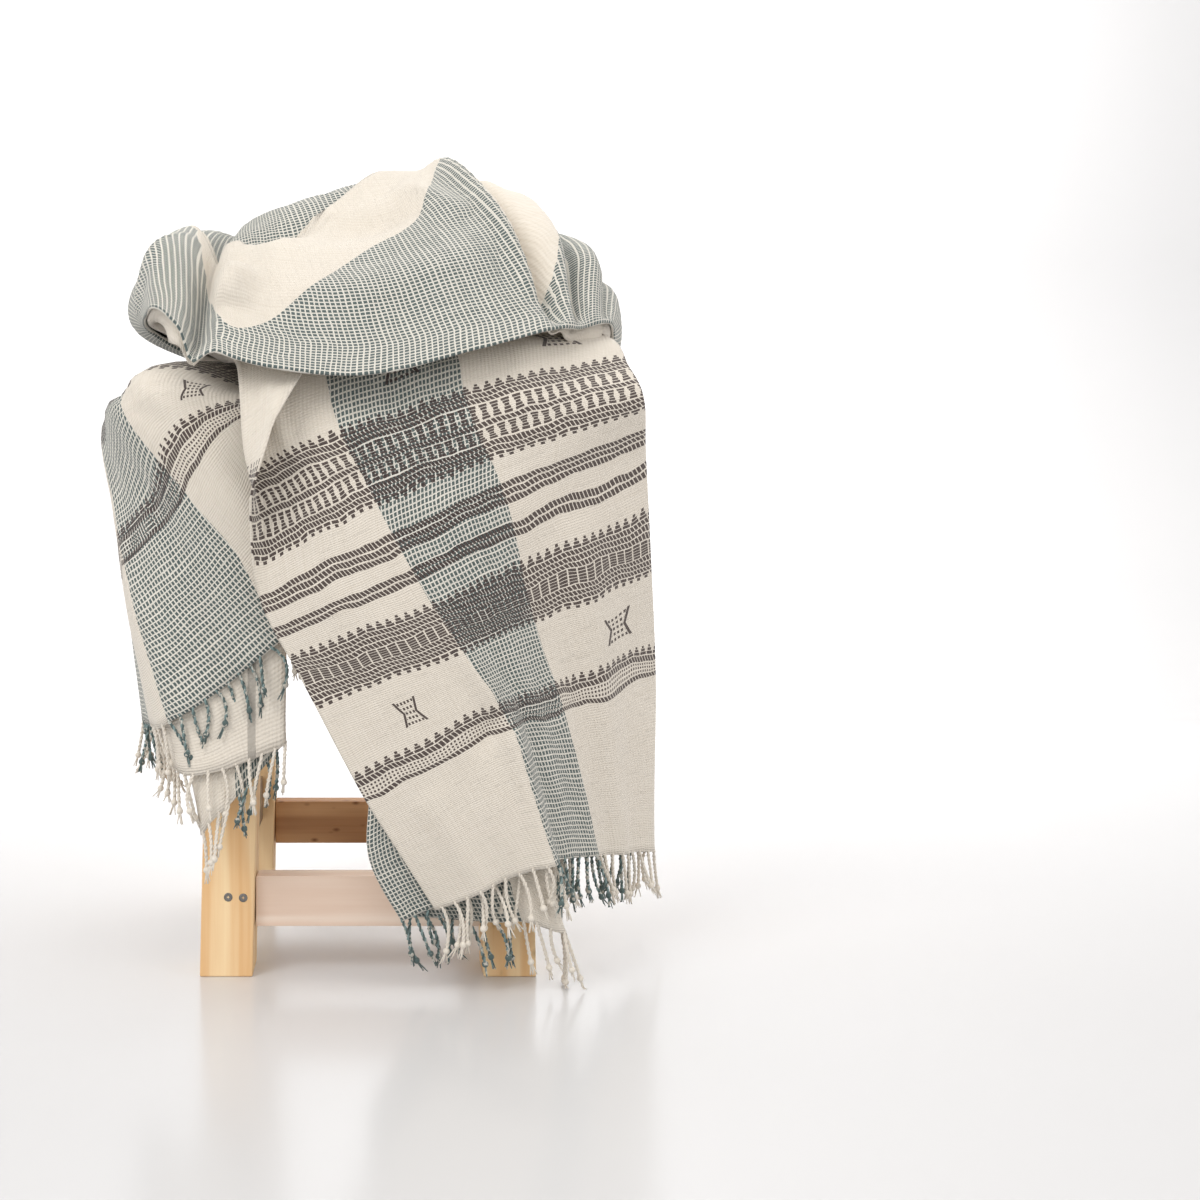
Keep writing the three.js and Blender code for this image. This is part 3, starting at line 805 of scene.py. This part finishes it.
def strand_path(root, way, sway, length):
    """A strand's middle line in millimetres: out of the hem, then down, then level on the floor."""
    path = [root]
    heading = way.copy()
    count = int(length / STRAND_STEP)
    for i in range(count):
        bend = 1 if i < count / 2 else LOWER_BEND
        heading = unit(heading + np.array([sway[0], sway[1], -SAG]) * bend)
        point = path[-1] + heading * STRAND_STEP
        if point[2] < FLOOR_CLEAR:
            heading = unit(np.array([heading[0] + sway[0], heading[1] - FLOOR_SLIDE, 0.0]))
            point[:2] = path[-1][:2] + heading[:2] * STRAND_STEP
            point[2] = FLOOR_CLEAR
        path.append(point)
    return np.array(path)


def add_strand(tubes, random, root, way, side, u, towards):
    """One strand: two twisted plies, a knot and loose tails."""
    def uv(ply):
        return (u * MM, ply * MM)

    length = STRAND_LENGTH * random.uniform(*LENGTH_RANGE)
    path = strand_path(root - way * ROOT_INSIDE, way, random.normal(0, SWAY, 2), length)
    t = np.linspace(0, 1, len(path))
    bow = random.normal(0, BOW) * np.sin(math.pi * t) + towards * random.uniform(*PAIRING) * t**2
    path = path + bow[:, None] * side
    path[:, 2] = np.maximum(path[:, 2], FLOOR_CLEAR)
    knot = int(KNOT_AT * (len(path) - 1))
    ahead, x, y = path_frame(path, side)
    turn = 2 * math.pi * np.arange(len(path)) * STRAND_STEP / TWIST_PITCH + random.uniform(0, TWIST_START)
    for ply in (0, 1):
        swing = np.cos(turn + ply * math.pi)[:, None] * x + np.sin(turn + ply * math.pi)[:, None] * y
        tubes.add((path + PLY_OFFSET * swing)[: knot + 1], PLY_RADIUS, PLY_SIDES, side, uv(ply))
    lump = path[knot] + KNOT_RADIUS * KNOT_RINGS[:, None] * ahead[knot]
    round_off = np.sqrt(1 - (KNOT_END * KNOT_RINGS) ** 2)
    tubes.add(lump, KNOT_RADIUS * round_off, KNOT_SIDES, side, uv(KNOT_PLY))
    for tail in range(TAILS):
        spread = random.normal(0, 1.0, 3)
        spread[2] = max(spread[2], 0)
        line = path[knot:] + np.linspace(0, 1, len(path) - knot)[:, None] * spread * TAIL_SPREAD
        line[:, 2] = np.maximum(line[:, 2], TAIL_CLEAR)
        tubes.add(line, np.linspace(*TAIL_RADII, len(line)), TAIL_SIDES, side, uv(tail / TAILS))


def build_fringe(name, node, hem, place, material, seed):
    """Strands along one hem, from its row of points and the next row in."""
    random = np.random.default_rng(seed)
    edge, inner = (hem - STOOL_MIDDLE) / MM
    walked = np.concatenate([[0], np.cumsum(np.linalg.norm(np.diff(edge, axis=0), axis=1))])
    at = np.arange(STRAND_PITCH / 2, walked[-1], STRAND_PITCH)
    roots, backs = (
        np.stack([np.interp(at, walked, line[:, k]) for k in range(3)], 1) for line in (edge, inner)
    )
    ways = unit(roots - backs)
    sides = unit(np.gradient(roots, axis=0))
    tubes = Tubes()
    for index, u in enumerate(np.interp(at, walked, place)):
        towards = 1 if index % 2 == 0 else -1
        add_strand(tubes, random, roots[index], ways[index], sides[index], u, towards)
    piece = mesh_object(name, np.array(tubes.points) * MM + STOOL_MIDDLE, tubes.faces, weave=tubes.uvs)
    piece.data.materials.append(material)
    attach(piece, "root")
    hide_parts(node)
    return piece


# Stool

# Colours, each pale and deep
PINE = (srgb(245, 220, 178), srgb(218, 168, 112))
PALE_PINE = (srgb(242, 226, 212), srgb(222, 194, 174))
BROWN_PINE = (srgb(206, 164, 122), srgb(150, 104, 68))
# Painted shade: the side rails' pine is coloured grey-brown, as it looks in shadow, not a tone of the wood
# itself
SHADED_PINE = (srgb(176, 154, 128), srgb(128, 106, 84))
STEEL = (srgb(150, 148, 146), srgb(96, 94, 92))
KNOT_BROWN = srgb(96, 58, 34)
KNOT_SIZE = 0.22
KNOT_GAIN = 4.5
STOOL_PIECES = [
    # node, slot, colours, grain, knots, seed
    ("seat", "pine", PINE, "X", 0.4, 1.0),
    ("leg_front_left", "pine", PINE, "Z", 0.0, 2.3),
    ("leg_front_right", "pine", PINE, "Z", 0.4, 4.1),
    ("leg_rear_left", "pine", PINE, "Z", 0.0, 5.7),
    ("leg_rear_right", "pine", PINE, "Z", 0.0, 7.9),
    ("rail_front", "pine_pale", PALE_PINE, "X", 0.0, 3.2),
    ("rail_rear", "pine_brown", BROWN_PINE, "X", 1.0, 6.5),
    # The side rails carry the painted shade colour, darker pine standing in for the shadow on them
    ("rail_left", "pine_grey", SHADED_PINE, "Y", 0.0, 8.4),
    ("rail_right", "pine_grey", SHADED_PINE, "Y", 0.0, 9.6),
]
# The boards' rounded edges, in millimetres and degrees
EDGE_WEAR = 1.3
EDGE_SEGMENTS = 3
EDGE_ANGLE = 40
WELD_GAP = 0.05
# Two screw heads on the front left leg, in millimetres from the stool's middle
LEG_FRONT = -140
SCREW_PLACES = [(-116.5, 66.5), (-104.0, 66.0)]
SCREW_RADIUS = 3.6
SCREW_SIDES = 24
SCREW_RINGS = [(1, 0.5), (1, -0.25), (0.8, -0.45), (0.5, -0.5)]  # share of the radius, and depth in the leg
SLOT_SHARE = 0.6
SLOT_WIDE = 0.45
SLOT_DEEP = 0.5
SLOT_MIDDLE = 0.3


def wood_material(name, pale, deep, grain_axis, seed, knots=0.0):
    """Planed pine with growth rings along one axis of the board, darker streaks and a few knots."""
    g = Graph(name, Specular_IOR_Level=0.3)
    x, y, z = g.place()
    # Places in metres: along the grain, and a and b across it
    along_grain = {"X": x, "Y": y, "Z": z}[grain_axis]
    a, b = (value for axis, value in zip("XYZ", (x, y, z)) if axis != grain_axis)
    stretched = g.vector(along_grain * 1.2 + seed, a * 14 + seed, b * 14)
    wave = g.noise(stretched, scale=1.6, detail=3.0, rough=0.55)
    rings = ((a * 120 + b * 65 + wave * 9 + along_grain * 2) * 2.2).sine() * 0.5 + 0.5
    fine = g.noise(g.vector(along_grain * 9 + seed, a * 420, b * 420), detail=3.0, rough=0.6)
    blotch = g.noise(g.vector(along_grain * 5 + seed, a * 16, b * 16))
    colour = g.mix(rings * 0.55 + fine * 0.35, pale, deep)
    colour = g.mix((blotch - 0.5).most(0.0) * 1.2, colour, deep)
    if knots:
        cell = g.tree.nodes.new("ShaderNodeTexVoronoi")
        g.link(g.vector(along_grain * 9 + seed, a * 17, b * 17), cell.inputs["Vector"])
        spot = (KNOT_SIZE - Num(g, cell.outputs["Distance"])).most(0.0) * (KNOT_GAIN * knots)
        colour = g.mix(spot, colour, KNOT_BROWN)
    g.colour(colour)
    g.roughness(0.5 + fine * 0.2)
    g.bump(rings * 0.25 + fine, depth_mm=0.22, strength=0.6)
    return g.material


def build_stool():
    for node, slot, (pale, deep), grain, knots, seed in STOOL_PIECES:
        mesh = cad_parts[node].data.copy()
        mesh.materials.clear()
        mesh.materials.append(wood_material(node + "_wood", pale, deep, grain, seed, knots))
        board = bpy.data.objects.new(node + "_board", mesh)
        bpy.context.scene.collection.objects.link(board)
        weld = board.modifiers.new("weld", "WELD")
        weld.merge_threshold = WELD_GAP * MM
        edge = board.modifiers.new("edge", "BEVEL")
        edge.width = EDGE_WEAR * MM
        edge.segments = EDGE_SEGMENTS
        edge.limit_method = "ANGLE"
        edge.angle_limit = math.radians(EDGE_ANGLE)
        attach(board, "root")
        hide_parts(node)


def steel_material():
    g = Graph("screw_steel", Metallic=0.9)
    x, y, z = g.place()
    scratch = g.noise(g.vector(x * 900, y * 900, z * 200), detail=3.0)
    g.colour(g.mix(scratch, *STEEL))
    g.roughness(0.35 + scratch * 0.25)
    g.bump(scratch, depth_mm=0.05)
    return g.material


def build_screws():
    """Two countersunk heads with a crossed slot, seated in the front left leg's face."""
    material = steel_material()
    for index, (x, z) in enumerate(SCREW_PLACES):
        points = []
        for share, deep in SCREW_RINGS:
            radius = SCREW_RADIUS * share
            for k in range(SCREW_SIDES):
                a = 2 * math.pi * k / SCREW_SIDES
                slot = SLOT_DEEP if share < SLOT_SHARE and abs(math.sin(2 * a)) < SLOT_WIDE else 0
                points.append((x + radius * math.cos(a), LEG_FRONT + deep + slot, z + radius * math.sin(a)))
        points.append((x, LEG_FRONT + SLOT_MIDDLE, z))
        faces = ring_faces(len(SCREW_RINGS), SCREW_SIDES)
        last = (len(SCREW_RINGS) - 1) * SCREW_SIDES
        faces += [(last + k, last + (k + 1) % SCREW_SIDES, len(points) - 1) for k in range(SCREW_SIDES)]
        faces.append(tuple(range(SCREW_SIDES))[::-1])
        screw = mesh_object(f"screw_{index + 1}", np.array(points) * MM + STOOL_MIDDLE, faces)
        screw.data.materials.append(material)
        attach(screw, "root")


# Stage, light and camera

# The floor and backdrop, in metres
FLOOR_FRONT = -4.0
FLOOR_BACK = 1.6
FLOOR_HALF = 6.0
SWEEP = 1.2
SWEEP_ANGLES = np.linspace(0.1, math.pi / 2, 14)
WALL_TOP = 5.0
FLOOR_TONES = ((0.62, 0.62, 0.63, 1), (0.65, 0.65, 0.66, 1))
WORLD_COLOUR = (1.0, 0.985, 0.965, 1)
WORLD_STRENGTH = 0.95
LIGHTS = [
    # name, place, target, size, power, colour, spread in degrees
    ("key", (-1.3, -1.5, 1.9), (0, 0, 0.4), 1.2, 26, (1.0, 0.98, 0.95), 180),
    ("fill", (1.8, -1.2, 1.4), (0, 0, 0.3), 1.6, 10, (1.0, 0.95, 0.9), 180),
    ("back", (0.6, 1.2, 2.2), (0, 0, 0.5), 1.2, 8, (1.0, 0.99, 0.97), 180),
    ("wall", (0.3, 0.9, 3.2), (0.3, 2.8, 1.4), 2.4, 72, (1.0, 0.99, 0.975), 125),
]


def build_stage():
    """A pale floor that sweeps up into a backdrop."""
    profile = [(FLOOR_FRONT, 0.0), (FLOOR_BACK, 0.0)]
    profile += [(FLOOR_BACK + SWEEP * math.sin(a), SWEEP * (1 - math.cos(a))) for a in SWEEP_ANGLES]
    profile.append((FLOOR_BACK + SWEEP, WALL_TOP))
    points = [(x, y, z) for y, z in profile for x in (-FLOOR_HALF, FLOOR_HALF)]
    floor = mesh_object("floor", points, grid_faces(len(profile), 2))
    g = Graph("pale_floor", Roughness=0.2, Specular_IOR_Level=0.5)
    x, y, _ = g.place()
    g.colour(g.mix(g.noise(g.vector(x, y), scale=1.5), *FLOOR_TONES))
    floor.data.materials.append(g.material)


def area_light(name, place, target, size, power, colour, spread):
    light = bpy.data.lights.new(name, "AREA")
    light.shape = "DISK"
    light.size = size
    light.energy = power
    light.color = colour
    light.spread = math.radians(spread)
    lamp = bpy.data.objects.new(name, light)
    lamp.location = place
    lamp.rotation_euler = (Vector(target) - Vector(place)).to_track_quat("-Z", "Y").to_euler()
    lamp.visible_camera = False
    bpy.context.scene.collection.objects.link(lamp)


def build_light():
    world = bpy.data.worlds.new("studio")
    world.use_nodes = True
    background = world.node_tree.nodes["Background"]
    background.inputs["Color"].default_value = WORLD_COLOUR
    background.inputs["Strength"].default_value = WORLD_STRENGTH
    bpy.context.scene.world = world
    for light in LIGHTS:
        area_light(*light)
    bpy.context.scene.view_settings.view_transform = "Standard"


def build_camera():
    data = bpy.data.cameras.new("photo_camera")
    data.sensor_width = SENSOR
    data.lens = SENSOR * FOCAL_PX / PHOTO_SIDE
    data.shift_x = (PHOTO_SIDE / 2 - STOOL_MIDDLE_PX) / PHOTO_SIDE
    data.shift_y = (HORIZON_PX - PHOTO_SIDE / 2) / PHOTO_SIDE
    camera = bpy.data.objects.new("photo_camera", data)
    camera.location = (STOOL_MIDDLE[0], STOOL_MIDDLE[1] - CAMERA_BACK, CAMERA_HIGH)
    camera.rotation_euler = (math.pi / 2, 0, 0)
    bpy.context.scene.collection.objects.link(camera)
    bpy.context.scene.camera = camera


def build():
    build_camera()
    build_light()
    build_stage()
    build_stool()
    build_screws()
    cloth, points, place = build_cloth(cloth_material())
    yarn = yarn_material()
    front = build_fringe("fringe_front_yarn", "fringe_front", points[:2], place[0], yarn, FRONT_SEED)
    left = build_fringe("fringe_left_yarn", "fringe_left", points[:-3:-1], place[-1], yarn, LEFT_SEED)


build()
